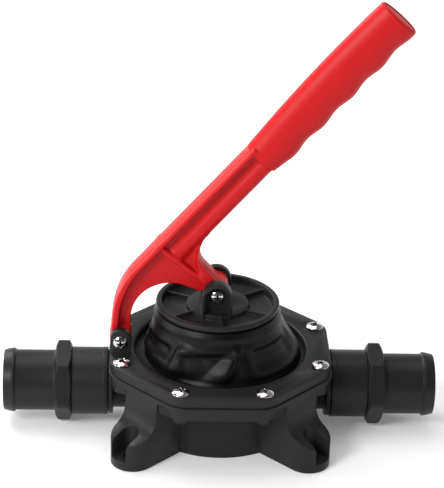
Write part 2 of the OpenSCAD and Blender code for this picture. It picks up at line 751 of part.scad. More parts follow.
// Each valve opens towards +X: the inlet's seat lies against its hose tail, the outlet's against the nipple
inlet_seat_x = -spigot_end;
outlet_seat_x = nipple_end;
lug_w = 2;
lug_gap = 0.3;
hinge_z = port_z + hinge_rise;
knuckle_r = hinge_pin_r + 1;
hinge_out = seat_t + flap_gap + knuckle_r;

// A seat from x to x + seat_t with two lugs that carry the flap's hinge pin
module valve_seat(x) {
    color(BLACK) difference() {
        union() {
            translate([x, 0, port_z]) rotate([0, 90, 0])
                tube(housing_bore_r - fit, seat_hole_r, 0, seat_t);
            for (side = [-1, 1])
                translate([x + seat_t - 0.5, side * (knuckle_w / 2 + lug_gap + lug_w / 2) - lug_w / 2,
                           hinge_z - knuckle_r])
                    cube([hinge_out - seat_t + knuckle_r, lug_w, 2 * knuckle_r - 0.4]);
        }
        translate([x + hinge_out, 0, hinge_z]) rotate([90, 0, 0])
            cylinder(r = hinge_pin_r + 0.03, h = 40, center = true, $fn = 32);
    }
}

// A rubber flap that hangs from its pin and covers the seat's opening
module flap(x) {
    face_x = x + seat_t + flap_gap;
    color(RUBBER) difference() {
        union() {
            translate([face_x, 0, port_z]) rotate([0, 90, 0]) cylinder(r = flap_r, h = flap_t);
            translate([face_x, -knuckle_w / 2, port_z]) cube([flap_t, knuckle_w, hinge_rise]);
            translate([x + hinge_out, 0, hinge_z]) rotate([90, 0, 0])
                cylinder(r = knuckle_r, h = knuckle_w, center = true, $fn = 32);
        }
        translate([x + hinge_out, 0, hinge_z]) rotate([90, 0, 0])
            cylinder(r = hinge_pin_r + pin_fit, h = 40, center = true, $fn = 32);
    }
}

module hinge_pin(x) {
    color(STEEL) translate([x + hinge_out, 0, hinge_z]) rotate([90, 0, 0])
        cylinder(r = hinge_pin_r, h = knuckle_w + 2 * (lug_gap + lug_w), center = true, $fn = 32);
}

// ---------------------------------------------------------------- nodes

pump_body();
clamp_ring();
clamp_screws();
diaphragm();
diaphragm_plate();
backing_plate();
backing_screws();
lever();
grip_cap();
lever_pivot_pin();
lever_pivot_nut();
link_pin();
link_nut();
gasket(-1);  // inlet_gasket
valve_housing(-1);  // inlet_valve_housing
valve_seat(inlet_seat_x);  // inlet_valve_seat
flap(inlet_seat_x);  // inlet_flap
hinge_pin(inlet_seat_x);  // inlet_hinge_pin
o_ring(-1);  // inlet_o_ring
hose_tail(-1, hex_turn_in);  // inlet_hose_tail
gasket(1);  // outlet_gasket
valve_housing(1);  // outlet_valve_housing
valve_seat(outlet_seat_x);  // outlet_valve_seat
flap(outlet_seat_x);  // outlet_flap
hinge_pin(outlet_seat_x);  // outlet_hinge_pin
o_ring(1);  // outlet_o_ring
hose_tail(1, hex_turn_out);  // outlet_hose_tail
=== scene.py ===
import math

import bmesh
import bpy
import numpy as np
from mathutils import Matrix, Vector


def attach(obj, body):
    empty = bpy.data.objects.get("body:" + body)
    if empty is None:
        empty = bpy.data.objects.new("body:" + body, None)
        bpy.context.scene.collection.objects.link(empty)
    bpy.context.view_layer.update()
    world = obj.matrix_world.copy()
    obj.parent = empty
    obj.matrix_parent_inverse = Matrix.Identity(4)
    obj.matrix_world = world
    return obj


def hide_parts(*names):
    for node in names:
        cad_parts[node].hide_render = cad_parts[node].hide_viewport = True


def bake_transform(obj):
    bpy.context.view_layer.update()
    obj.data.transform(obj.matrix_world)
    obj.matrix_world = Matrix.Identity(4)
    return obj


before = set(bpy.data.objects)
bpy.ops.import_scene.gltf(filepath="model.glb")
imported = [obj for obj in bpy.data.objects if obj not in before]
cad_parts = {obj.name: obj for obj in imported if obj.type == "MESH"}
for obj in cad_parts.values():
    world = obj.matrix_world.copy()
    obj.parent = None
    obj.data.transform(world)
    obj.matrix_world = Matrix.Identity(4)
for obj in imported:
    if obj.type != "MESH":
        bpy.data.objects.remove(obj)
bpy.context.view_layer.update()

# ---------------------------------------------------------------- Pump body
# Bowl, screw flange, two port necks and four slotted feet: one moulding in black glass-filled nylon.
# Its skin has the fine grain of the mould, a little uneven in gloss, and every edge is slightly broken.

MM = 0.001  # named sizes are in mm, and this turns them into metres
MOULD_EDGE = 0.35  # rounding of a moulding's edges


def moulded_skin():
    """Shader group for the skin of a moulding: uneven tone and gloss, and the fine grain of the mould."""
    group = bpy.data.node_groups.new("Moulded skin", "ShaderNodeTree")
    face = group.interface
    for name, kind, value in (
        ("Colour", "NodeSocketColor", (0.5, 0.5, 0.5, 1)),
        ("Tone shift", "NodeSocketFloat", 0.2),
        ("Roughness", "NodeSocketFloat", 0.5),
        ("Gloss shift", "NodeSocketFloat", 0.1),
        ("Grain per m", "NodeSocketFloat", 1500.0),
        ("Cloud per m", "NodeSocketFloat", 30.0),
    ):
        face.new_socket(name, in_out="INPUT", socket_type=kind).default_value = value
    for name, kind in (
        ("Colour", "NodeSocketColor"),
        ("Roughness", "NodeSocketFloat"),
        ("Height", "NodeSocketFloat"),
    ):
        face.new_socket(name, in_out="OUTPUT", socket_type=kind)
    nodes, link = group.nodes, group.links.new
    given, made = nodes.new("NodeGroupInput"), nodes.new("NodeGroupOutput")
    place = nodes.new("ShaderNodeTexCoord")
    cloud, grain = nodes.new("ShaderNodeTexNoise"), nodes.new("ShaderNodeTexNoise")
    cloud.inputs["Detail"].default_value = 4
    grain.inputs["Detail"].default_value = 3
    link(given.outputs["Cloud per m"], cloud.inputs["Scale"])
    link(given.outputs["Grain per m"], grain.inputs["Scale"])
    for noise in (cloud, grain):
        link(place.outputs["Object"], noise.inputs["Vector"])
    # tone: 1 + shift * (cloud - 0.5), and the same for the gloss round the roughness
    centred = nodes.new("ShaderNodeMath")
    centred.operation = "SUBTRACT"
    centred.inputs[1].default_value = 0.5
    link(cloud.outputs["Fac"], centred.inputs[0])
    tone = nodes.new("ShaderNodeMath")
    tone.operation = "MULTIPLY_ADD"
    tone.inputs[2].default_value = 1.0
    link(centred.outputs[0], tone.inputs[0])
    link(given.outputs["Tone shift"], tone.inputs[1])
    shade = nodes.new("ShaderNodeVectorMath")
    shade.operation = "SCALE"
    link(given.outputs["Colour"], shade.inputs[0])
    link(tone.outputs[0], shade.inputs["Scale"])
    link(shade.outputs[0], made.inputs["Colour"])
    gloss = nodes.new("ShaderNodeMath")
    gloss.operation = "MULTIPLY_ADD"
    link(centred.outputs[0], gloss.inputs[0])
    link(given.outputs["Gloss shift"], gloss.inputs[1])
    link(given.outputs["Roughness"], gloss.inputs[2])
    link(gloss.outputs[0], made.inputs["Roughness"])
    link(grain.outputs["Fac"], made.inputs["Height"])
    return group


skin_group = moulded_skin()


def skinned(name, colour, roughness, tone, gloss, grain, cloud, grain_depth):
    """Material with the shared skin and a bump for its grain; comes with its shader and its skin node."""
    material = bpy.data.materials.new(name)
    material.use_nodes = True
    nodes, link = material.node_tree.nodes, material.node_tree.links.new
    shader = nodes["Principled BSDF"]
    skin = nodes.new("ShaderNodeGroup")
    skin.node_tree = skin_group
    for socket, value in (
        ("Colour", (*colour, 1)),
        ("Tone shift", tone),
        ("Roughness", roughness),
        ("Gloss shift", gloss),
        ("Grain per m", grain),
        ("Cloud per m", cloud),
    ):
        skin.inputs[socket].default_value = value
    bump = nodes.new("ShaderNodeBump")
    bump.inputs["Strength"].default_value = 1
    bump.inputs["Distance"].default_value = grain_depth
    link(skin.outputs["Height"], bump.inputs["Height"])
    link(bump.outputs["Normal"], shader.inputs["Normal"])
    return material, shader, skin


def moulded(
    name, colour, roughness, specular, tone=0.25, gloss=0.12, grain=1500, cloud=30, grain_depth=0.00003
):
    """Material of a moulding; grain and cloud are counts per metre, grain_depth is in metres."""
    material, shader, skin = skinned(name, colour, roughness, tone, gloss, grain, cloud, grain_depth)
    link = material.node_tree.links.new
    link(skin.outputs["Colour"], shader.inputs["Base Color"])
    link(skin.outputs["Roughness"], shader.inputs["Roughness"])
    shader.inputs["Specular IOR Level"].default_value = specular
    return material


BLACK = moulded("Black nylon", (0.0132, 0.0134, 0.0137), 0.42, 0.2)


def new_piece(name, mesh, material, body, smooth_angle):
    """A finished piece: its mesh shaded smooth up to the angle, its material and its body."""
    piece = bpy.data.objects.new(name, mesh)
    bpy.context.scene.collection.objects.link(piece)
    mesh.materials.clear()
    mesh.materials.append(material)
    mesh.shade_smooth()
    mesh.set_sharp_from_angle(angle=math.radians(smooth_angle))
    if body:
        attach(piece, body)
    return piece


def eased(node, edge, material, body, segments=2):
    """A copy of a CAD node with its loose triangles joined and its sharp edges rounded by edge (in mm)."""
    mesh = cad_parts[node].data.copy()
    mesh.name = node + "_eased"
    shape = bmesh.new()
    shape.from_mesh(mesh)
    bmesh.ops.remove_doubles(shape, verts=shape.verts, dist=2e-6)
    bmesh.ops.dissolve_limit(
        shape, angle_limit=math.radians(0.4), verts=shape.verts, edges=shape.edges,
        use_dissolve_boundaries=False,
    )
    shape.to_mesh(mesh)
    shape.free()
    piece = bpy.data.objects.new(node + "_skin", mesh)
    bpy.context.scene.collection.objects.link(piece)
    rounding = piece.modifiers.new("Rounded edges", "BEVEL")
    rounding.limit_method = "ANGLE"
    rounding.angle_limit = math.radians(28)
    rounding.width = edge * MM
    rounding.segments = segments
    rounding.use_clamp_overlap = False
    rounding.harden_normals = False
    finished = bpy.data.meshes.new_from_object(piece.evaluated_get(bpy.context.evaluated_depsgraph_get()))
    bpy.data.objects.remove(piece)
    finished.name = node + "_skin"
    piece = new_piece(node + "_skin", finished, material, body, 40)
    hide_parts(node)


eased("pump_body", MOULD_EDGE, BLACK, "base")

# ---------------------------------------------------------------- Diaphragm
# Moulded rubber dome, clamped under the ring at its foot and held between the two plates at its crown.
# It has taken a set: a fold under the neck, broken into facets by ridges that run down to the foot.

RIM_R, SEAT_Z, RUBBER = 58.8, 45.5, 2.2
PLATE_X, PLATE_R, PLATE_FOOT_R, PLATE_Z = -2.3, 38.3, 36.1, 77.0
DOME_LOW, DOME_TOP = SEAT_Z + RUBBER, PLATE_Z - RUBBER
NECK_R, DOME_MEAN_R, DOME_FOOT, DOME_LEAN = PLATE_R + 1.3, 44.0, 48.1, 1.6
LIP_H, WEB_HOLE_R = 2.6, 17.8
# creases under the neck: angle and height at one end, the same at the other, depth of the hollow under the
# crease, how far it runs down
CREASES = (
    (-170, 65.0, -143, 66.5, 2.3, 10.0),
    (-119, 66.5, -80, 68.5, 2.9, 22.0),
    (-57, 68.5, -24, 68.0, 2.3, 15.0),
    (2, 68.0, 28, 67.5, 0.8, 16.0),
    (48, 67.5, 78, 67.5, 1.6, 12.0),
    (90, 68.0, 122, 67.0, 2.0, 16.0),
    (138, 66.5, 166, 65.5, 1.6, 14.0),
)
CREASE_END, SHELF_REACH, SHELF_RISE = 6.0, 5.0, 0.4
# ridges between them: angle and height at the top, the same at the foot, how far they stand out, reach to
# the left and to the right
RIDGES = (
    (-124, 70.0, -130, 49.5, 3.5, 7.0, 19.0),
    (-73, 70.5, -92, 50.0, 3.7, 12.0, 5.5),
    (-10, 70.5, 0, 50.0, 1.2, 7.0, 7.0),
    (37, 70.5, 44, 50.0, 1.5, 6.0, 9.0),
    (83, 70.5, 74, 50.0, 2.4, 8.0, 3.0),
    (130, 70.0, 134, 50.0, 2.2, 4.0, 7.0),
    (180, 69.0, 184, 50.0, 1.0, 7.0, 6.0),
)


def smooth_step(low, high, value):
    """Soft step from 0 at low to 1 at high; low may be the greater of the two."""
    share = np.clip((value - low) / (high - low), 0, 1)
    return share * share * (3 - 2 * share)


def turn_between(a, b):
    """Difference of two angles in degrees, from -180 to 180."""
    return (a - b + 180) % 360 - 180


def dome_radius(angle, z):
    """Outer radius of the dome at an angle in degrees and a height, with its creases and ridges."""
    share = (z - DOME_LOW) / (DOME_TOP - DOME_LOW)
    radius = NECK_R + (DOME_FOOT - NECK_R) * (1 - smooth_step(0.14, 1.0, share))
    radius = radius + 0.9 * smooth_step(0.12, 0, share)
    mm_per_degree = math.radians(1) * DOME_MEAN_R
    for a0, z0, a1, z1, depth, run in CREASES:
        along = np.clip(turn_between(angle, a0) / turn_between(a1, a0), 0, 1)
        past = np.abs(turn_between(angle, a0 + along * turn_between(a1, a0))) * mm_per_degree
        above = z - z0 - (z1 - z0) * along
        ends = np.exp(-((past / CREASE_END) ** 2))
        shelf = np.exp(-((above / SHELF_REACH) ** 2)) * smooth_step(-5.0, 3.0, above)
        hollow = smooth_step(1.8, -1.8 - 0.13 * run, above) * (1 - smooth_step(-0.55 * run, -run, above))
        radius = radius + (SHELF_RISE * shelf - depth * hollow) * ends
    fade = smooth_step(46.5, 57, z)
    for top_angle, top_z, foot_angle, foot_z, height, left, right in RIDGES:
        along = np.clip((top_z - z) / (top_z - foot_z), 0, 1)
        off = turn_between(angle, top_angle + (foot_angle - top_angle) * along) * mm_per_degree
        reach = np.where(off < 0, -off / left, off / right) / (0.55 + 0.75 * along)
        flank = (1 - np.minimum(reach, 1)) * 0.4 + (1 - smooth_step(0, 1, reach)) * 0.6
        ends = smooth_step(top_z + 3.0, top_z - 4.5, z) * fade
        radius = radius + height * (flank - 0.1 * np.exp(-((off / 1.2) ** 2))) * ends
    return radius


def dome_shift(z):
    """Sideways place of the dome at a height: 0 at its rim, DOME_LEAN above it, PLATE_X at its top."""
    lean = DOME_LEAN + (PLATE_X - DOME_LEAN) * (z - DOME_LOW - 1) / (DOME_TOP - DOME_LOW - 1)
    return np.where(z <= DOME_LOW, 0, np.where(z >= DOME_TOP, PLATE_X, lean))


def polar_mesh(name, rows, closed=False):
    """Mesh from rows of points round an axis, in mm; closed joins the last row to the first."""
    points = np.array(rows) * MM
    count, sides = points.shape[:2]
    here = np.arange(count if closed else count - 1)[:, None] * sides + np.arange(sides)[None, :]
    above = (here // sides + 1) % count * sides + here % sides
    turned = np.roll(here, -1, axis=1)
    above_turned = np.roll(above, -1, axis=1)
    faces = np.stack((here, turned, above_turned, above), axis=-1).reshape(-1, 4)
    mesh = bpy.data.meshes.new(name)
    mesh.from_pydata(points.reshape(-1, 3).tolist(), [], faces.tolist())
    shape = bmesh.new()
    shape.from_mesh(mesh)
    bmesh.ops.remove_doubles(shape, verts=shape.verts, dist=1e-7)
    bmesh.ops.recalc_face_normals(shape, faces=shape.faces)
    shape.to_mesh(mesh)
    shape.free()
    return mesh


def dome_rows():
    """Rows of the shell: its rim, the outside, the lip round the plate, the web's hole, the inside."""
    sides = 360
    angle = np.linspace(-180, 180, sides, endpoint=False)
    ring = np.stack((np.cos(np.radians(angle)), np.sin(np.radians(angle))), axis=-1)

    def row(radius, z, shift=None):
        z = np.broadcast_to(np.asarray(z, float), angle.shape)
        radius = np.broadcast_to(np.asarray(radius, float), angle.shape)
        flat = ring * radius[:, None]
        return np.column_stack((flat[:, 0] + (dome_shift(z) if shift is None else shift), flat[:, 1], z))

    heights = np.concatenate((np.linspace(DOME_LOW + 0.5, PLATE_Z - 1.0, 74), [PLATE_Z - 0.4]))
    outside = [(dome_radius(angle, np.full(sides, z)), z) for z in heights]
    lip_top, lip_inside = PLATE_Z + LIP_H, PLATE_FOOT_R + 0.3
    return [
        row(RIM_R, SEAT_Z, 0),
        row(RIM_R, DOME_LOW, 0),
        row(DOME_FOOT + 2.6, DOME_LOW, 0),
        *(row(r, z) for r, z in outside),
        row(PLATE_R + 0.5, PLATE_Z + 0.5),
        row(PLATE_R + 0.1, PLATE_Z + 1.8),
        row(PLATE_R - 0.5, lip_top),
        row(lip_inside, lip_top),
        row(lip_inside, PLATE_Z),
        row(WEB_HOLE_R, PLATE_Z),
        row(WEB_HOLE_R, DOME_TOP),
        row(lip_inside - 1, DOME_TOP),
        *(row(r - RUBBER * 0.95, z - RUBBER * 0.3) for r, z in outside[::-2][4:-1]),
        row(DOME_FOOT - 0.9, SEAT_Z, 0),
    ]


RUBBER_SKIN = moulded(
    "Black rubber", (0.0023, 0.0023, 0.0025), 0.43, 0.19,
    tone=0.2, gloss=0.1, grain=900, cloud=45, grain_depth=0.000012,
)
dome_mesh = polar_mesh("diaphragm_dome", dome_rows(), closed=True)
dome = new_piece("diaphragm_dome", dome_mesh, RUBBER_SKIN, None, 50)
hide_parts("diaphragm")
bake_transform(dome)

# ---------------------------------------------------------------- Diaphragm plate
# Dished disc in black nylon with a rim, a hub, spokes and the clevis of the lever's second pivot.
# It stands in the lip round the rubber's crown and is drawn down on it from below.

eased("diaphragm_plate", MOULD_EDGE, BLACK, "plate")

# ---------------------------------------------------------------- Backing plate and its screws
# Black nylon disc under the rubber, with a boss that passes through it. Four stainless screws come up
# through the disc into the plate above.

BACKING_EDGE = 0.4
BACKING_CIRCLE, BACKING_COUNT, BACKING_LOW = 12.0, 4, 70.8
BACKING_HEAD_R, BACKING_HEAD_H, BACKING_SCREW_LEN = 4.0, 2.0, 10.2
SHANK_R = 2.2  # of these screws and of the ring's

eased("backing_plate", BACKING_EDGE, BLACK, "plate")


def steel(name, colour, roughness):
    """Polished stainless steel, uneven in gloss; duller where "recess" is set, and darkened there with
    painted shade.
    """
    material, shader, skin = skinned(
        name, colour, roughness, tone=0.15, gloss=0.1, grain=2500, cloud=300, grain_depth=0.000004
    )
    nodes, link = material.node_tree.nodes, material.node_tree.links.new
    shader.inputs["Metallic"].default_value = 1
    # painted shade: where "recess" is set, the colour is mixed towards near-black, standing in for the
    # shade in the cross
    recess, painted_shade, dull = (nodes.new("ShaderNode" + kind) for kind in ("Attribute", "Mix", "Math"))
    recess.attribute_name = "recess"
    painted_shade.data_type = "RGBA"
    painted_shade.inputs["B"].default_value = (0.012, 0.011, 0.01, 1)
    link(recess.outputs["Fac"], painted_shade.inputs["Factor"])
    link(skin.outputs["Colour"], painted_shade.inputs["A"])
    link(painted_shade.outputs["Result"], shader.inputs["Base Color"])
    dull.operation = "MULTIPLY_ADD"
    dull.inputs[1].default_value = 0.35
    link(recess.outputs["Fac"], dull.inputs[0])
    link(skin.outputs["Roughness"], dull.inputs[2])
    link(dull.outputs[0], shader.inputs["Roughness"])
    return material


STEEL = steel("Stainless steel", (0.6, 0.595, 0.585), 0.14)


def cross_head(name, radius, height, shank, length, slot=1.3, depth=1.5):
    """Mesh of a domed head with a cross recess on the plane z = 0 and its shank below; sizes in mm.

    The attribute "recess" is 1 at the bottom of the cross, where the steel paints shade.
    """
    sides = 96
    angle = np.linspace(0, 2 * math.pi, sides, endpoint=False)
    edge = height * 0.3
    ball = (radius**2 + (height - edge) ** 2) / (2 * (height - edge))

    def row(r, z):
        return np.column_stack((r * np.cos(angle), r * np.sin(angle), np.broadcast_to(z, angle.shape)))

    rows = [row(0.001, -length), row(shank * 0.6, -length), row(shank, -length + 1), row(shank, 0)]
    rows += [row(radius * 0.97, 0), row(radius, 0.25), row(radius, edge * 0.8)]
    reach = radius * 0.5
    for share in np.linspace(0.985, 0.002, 40):
        r = radius * share
        top = height - ball + math.sqrt(ball**2 - r**2)
        x, y = np.abs(r * np.cos(angle)), np.abs(r * np.sin(angle))
        arm = np.minimum(np.maximum(x - slot / 2, y - reach), np.maximum(y - slot / 2, x - reach))
        middle = r - slot * 0.95
        sink = depth * (1 - 0.35 * r / reach)
        rows.append(row(r, top - sink * smooth_step(0.16, -0.3, np.minimum(arm, middle))))
    mesh = polar_mesh(name, rows)
    shape = bmesh.new()
    shape.from_mesh(mesh)
    bmesh.ops.holes_fill(shape, edges=[e for e in shape.edges if e.is_boundary], sides=0)
    bmesh.ops.recalc_face_normals(shape, faces=shape.faces)
    shape.to_mesh(mesh)
    shape.free()
    recess = mesh.attributes.new("recess", "FLOAT", "POINT")
    for vertex, value in zip(mesh.vertices, recess.data):
        x, y, z = vertex.co / MM
        r = math.hypot(x, y)
        if z > edge and r < radius * 0.8:
            value.value = min(1, max(0, (height - ball + math.sqrt(ball**2 - r**2) - z) / (depth * 0.5)))
    return mesh


def ring_of_screws():
    """Geometry Nodes tree: copies of one screw, evenly round a circle, each turned by its own amount."""
    tree = bpy.data.node_groups.new("Ring of screws", "GeometryNodeTree")
    face = tree.interface
    for name, kind in (
        ("Screw", "NodeSocketObject"),
        ("Count", "NodeSocketInt"),
        ("Circle radius", "NodeSocketFloat"),
        ("Height", "NodeSocketFloat"),
        ("First angle", "NodeSocketFloat"),
        ("Seed", "NodeSocketInt"),
        ("Material", "NodeSocketMaterial"),
    ):
        face.new_socket(name, in_out="INPUT", socket_type=kind)
    face.new_socket("Geometry", in_out="OUTPUT", socket_type="NodeSocketGeometry")
    nodes, link = tree.nodes, tree.links.new
    given, made = nodes.new("NodeGroupInput"), nodes.new("NodeGroupOutput")
    circle = nodes.new("GeometryNodeMeshCircle")
    link(given.outputs["Count"], circle.inputs["Vertices"])
    link(given.outputs["Circle radius"], circle.inputs["Radius"])
    turn = nodes.new("GeometryNodeTransform")
    lift, spin = nodes.new("ShaderNodeCombineXYZ"), nodes.new("ShaderNodeCombineXYZ")
    link(given.outputs["Height"], lift.inputs["Z"])
    link(given.outputs["First angle"], spin.inputs["Z"])
    link(circle.outputs["Mesh"], turn.inputs["Geometry"])
    link(lift.outputs[0], turn.inputs["Translation"])
    link(spin.outputs[0], turn.inputs["Rotation"])
    chance = nodes.new("FunctionNodeRandomValue")
    chance.data_type = "FLOAT"
    chance.inputs["Max"].default_value = math.pi / 2
    link(given.outputs["Seed"], chance.inputs["Seed"])
    own_turn = nodes.new("ShaderNodeCombineXYZ")
    link(chance.outputs["Value"], own_turn.inputs["Z"])
    source = nodes.new("GeometryNodeObjectInfo")
    link(given.outputs["Screw"], source.inputs["Object"])
    place = nodes.new("GeometryNodeInstanceOnPoints")
    link(turn.outputs["Geometry"], place.inputs["Points"])
    link(source.outputs["Geometry"], place.inputs["Instance"])
    link(own_turn.outputs[0], place.inputs["Rotation"])
    real, paint = nodes.new("GeometryNodeRealizeInstances"), nodes.new("GeometryNodeSetMaterial")
    link(place.outputs["Instances"], real.inputs["Geometry"])
    link(real.outputs["Geometry"], paint.inputs["Geometry"])
    link(given.outputs["Material"], paint.inputs["Material"])
    link(paint.outputs["Geometry"], made.inputs["Geometry"])
    return tree


screw_tree = ring_of_screws()


def screws_round(
    name, screw_mesh, count, radius, height, first, seed, body, nodes, centre=(0, 0), flip=False
):
    """The screws of one ring as a plain mesh: radius, height and centre in mm, first angle in degrees.

    With flip the heads point down, and height is the plane they stand on.
    """
    sample = bpy.data.objects.new(name + "_one", screw_mesh)
    holder = bpy.data.objects.new(name + "_ring", bpy.data.meshes.new(name + "_ring"))
    for thing in (sample, holder):
        bpy.context.scene.collection.objects.link(thing)
    layout = holder.modifiers.new("Ring of screws", "NODES")
    layout.node_group = screw_tree
    for socket in screw_tree.interface.items_tree:
        if socket.in_out == "INPUT":
            layout[socket.identifier] = {
                "Screw": sample,
                "Count": count,
                "Circle radius": radius * MM,
                "Height": (-height if flip else height) * MM,
                "First angle": math.radians(first),
                "Seed": seed,
                "Material": STEEL,
            }[socket.name]
    mesh = bpy.data.meshes.new_from_object(holder.evaluated_get(bpy.context.evaluated_depsgraph_get()))
    holder.modifiers.remove(layout)
    for thing in (sample, holder):
        bpy.data.objects.remove(thing)
    points = np.empty(len(mesh.vertices) * 3)
    mesh.vertices.foreach_get("co", points)
    points = points.reshape(-1, 3)
    if flip:
        points *= (1, -1, -1)
    points += np.array((*centre, 0)) * MM
    mesh.vertices.foreach_set("co", points.ravel())
    mesh.name = name
    piece = new_piece(name, mesh, STEEL, body, 40)
    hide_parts(*nodes)


backing_screw = cross_head(
    "backing_screw", BACKING_HEAD_R, BACKING_HEAD_H, SHANK_R, BACKING_SCREW_LEN, slot=1.0, depth=1.1
)
screws_round(
    "backing_screw_set", backing_screw, BACKING_COUNT, BACKING_CIRCLE, BACKING_LOW,
    first=45, seed=9, body="plate", nodes=["backing_screws"], centre=(PLATE_X, 0), flip=True,
)

# ---------------------------------------------------------------- Clamp ring
# Octagonal ring in the same black nylon that presses the diaphragm's rim to the body. The clevis of the
# lever's fixed pivot is moulded on its left side.

eased("clamp_ring", MOULD_EDGE, BLACK, "base")

# ---------------------------------------------------------------- Clamp screws
# Eight stainless pan-head screws with a cross recess, one at each corner of the octagon. They hold the
# ring and the rubber's rim down on the body.

SCREW_CIRCLE, SCREW_COUNT, RING_TOP = 66.2, 8, 52.0
HEAD_R, HEAD_H, SCREW_LEN = 5.5, 2.7, 16.0

clamp_screw = cross_head("clamp_screw", HEAD_R, HEAD_H, SHANK_R, SCREW_LEN)
screws_round(
    "clamp_screw_set", clamp_screw, SCREW_COUNT, SCREW_CIRCLE, RING_TOP,
    first=22.5, seed=4, body="base", nodes=["clamp_screws"],
)

# ---------------------------------------------------------------- Lever
# One injection moulding in red: an arched leg with an eye at each of its two pivots, a flanged arm and an
# oval grip with finger waves. Its ribs and webs run into each other with soft fillets.

PIVOT, LINK = np.array((-62.2, 60.2)), np.array((-3.2, 92.9))
EYE_R, LINK_EYE_R, PIN_BORE = 6.3, 7.2, 2.55
HALF_WIDTH, WEB_HALF = 8.5, 3.5
# thickness of the back flange on the arm and on the leg, and of the lip above the link and at its eye
FLANGE_T, LEG_T, LIP_T, EYE_LIP_T = 2.9, 4.0, 1.2, 5.5
RIB_ANGLE, RIB_HALF_T, RIB_HALF_W = math.radians(140.7), 1.4, 7.9
BAR_HALF_H, BAR_HALF_W, BAR_CORNER = 5.2, 7.4, 4.8
CAP_RIM, CAP_RECESS, CAP_MEAN_R, SLOT_REACH, SLOT_R = 1.9, 2.4, 9.0, 1.3, 3.7
# slopes of the leg's back, of the neck over the link and of the arm in degrees, and the bends between them
LEG_LEAN, NECK_SLOPE, ARM_TILT = 85, -48.1, 49.3
SHOULDER_R, NECK_BEND_R = 52, 15
ARM_ANGLE = math.radians(ARM_TILT)
ARM_DIR = np.array((math.cos(ARM_ANGLE), math.sin(ARM_ANGLE)))
ARM_UP = np.array((-ARM_DIR[1], ARM_DIR[0]))
ARM_BACK, ARM_LOW = 24.3, 6.1
# the grip, measured along the arm and square to it from the fixed pivot
GRIP_START, GRIP_END, GRIP_HALF_W = 145.0, 265.0, 9.2
GRIP_BACK_START, GRIP_BACK, GRIP_CREST, GRIP_LOW = 26.5, 29.8, 80.0, 2.0
GRIP_START_EDGE, GRIP_END_EDGE = 0.7, 1.6
FIRST_WAVE, FINGER_PITCH, FINGER_DEPTH = 16.0, 25.0, 0.8


def on_arm(s, t):
    """Point of the side view at s along the arm and t square to it, from the fixed pivot."""
    return PIVOT + s * ARM_DIR + t * ARM_UP


def meet(p, a, q, b):
    """Where a line through p at a degrees meets a line through q at b degrees."""
    a, b, d = math.radians(a), math.radians(b), q - p
    reach = (d[0] * math.sin(b) - d[1] * math.cos(b)) / math.sin(b - a)
    return p + reach * np.array((math.cos(a), math.sin(a)))


def rounded_line(corners):
    """Line of points through corners given as (point, radius), with an arc where the radius isn't 0."""
    steps = 12
    points = []
    for i, (here, radius) in enumerate(corners):
        if radius == 0:
            points.append(here)
            continue
        u, v = (corners[j][0] - here for j in (i - 1, (i + 1) % len(corners)))
        u, v = u / np.linalg.norm(u), v / np.linalg.norm(v)
        half = math.acos(np.clip(u @ v, -1, 1)) / 2
        middle = here + (u + v) / np.linalg.norm(u + v) * radius / math.sin(half)
        a = math.atan2(*-(u + v)[::-1])
        side = math.copysign(1, u[0] * v[1] - u[1] * v[0])
        turn = math.pi / 2 - half
        for t in np.linspace(a + side * turn, a - side * turn, steps):
            points.append(middle + radius * np.array((math.cos(t), math.sin(t))))
    return np.array(points)


LINK_TOP = LINK + (3.2, 3.5)
BACK_CORNER = meet(PIVOT - (EYE_R, 0), LEG_LEAN, on_arm(0, ARM_BACK), ARM_TILT)
NECK_CORNER = meet(on_arm(0, ARM_LOW), ARM_TILT, LINK_TOP, NECK_SLOPE)
LEVER_EDGE = rounded_line([
    (PIVOT + (-EYE_R, 0), 0),
    (PIVOT + (EYE_R, 0), 0),
    (np.array((PIVOT[0] + EYE_R - 0.6, LINK[1] - 2.6)), 24),
    (LINK + (-27.8, 5.1), 22),
    (LINK + (-6.3, -3.1), 0),
    (LINK_TOP, 0),
    (NECK_CORNER, NECK_BEND_R),
    (on_arm(GRIP_START + 4, ARM_LOW), 0),
    (on_arm(GRIP_START + 4, ARM_BACK), 0),
    (BACK_CORNER, SHOULDER_R),
])
arm_end = on_arm(GRIP_START + 10, ARM_BACK)
BACK_EDGE = rounded_line([(PIVOT + (-EYE_R - 0.6, -7), 0), (BACK_CORNER, SHOULDER_R), (arm_end, 0)])
LINK_EDGE = rounded_line([(LINK_TOP, 0), (NECK_CORNER, NECK_BEND_R), (on_arm(85, ARM_LOW), 0)])


def line_distance(x, z, points, closed=False):
    """Distance from (x, z) to a line of points; if closed, negative inside the outline."""
    ends = np.roll(points, -1, axis=0) if closed else points[1:]
    starts = points if closed else points[:-1]
    best, inside = np.full(np.broadcast(x, z).shape, 1e9), np.zeros(np.broadcast(x, z).shape, bool)
    for (ax, az), (bx, bz) in zip(starts, ends):
        dx, dz = bx - ax, bz - az
        along = np.clip(((x - ax) * dx + (z - az) * dz) / (dx * dx + dz * dz + 1e-12), 0, 1)
        best = np.minimum(best, (x - ax - along * dx) ** 2 + (z - az - along * dz) ** 2)
        if dz:
            inside ^= ((az > z) != (bz > z)) & (x < ax + (z - az) / dz * dx)
    best = np.sqrt(best)
    return np.where(inside, -best, best) if closed else best


def blend_in(a, b, size):
    """Union of two solids given by their distances, with a fillet of about that size."""
    h = np.maximum(size - np.abs(a - b), 0) / size
    return np.minimum(a, b) - h * h * size / 4


def rounded_slab(flat, across, edge):
    """Solid inside both distances, with its edge rounded."""
    a, b = flat + edge, across + edge
    return np.minimum(np.maximum(a, b), 0) + np.hypot(np.maximum(a, 0), np.maximum(b, 0)) - edge


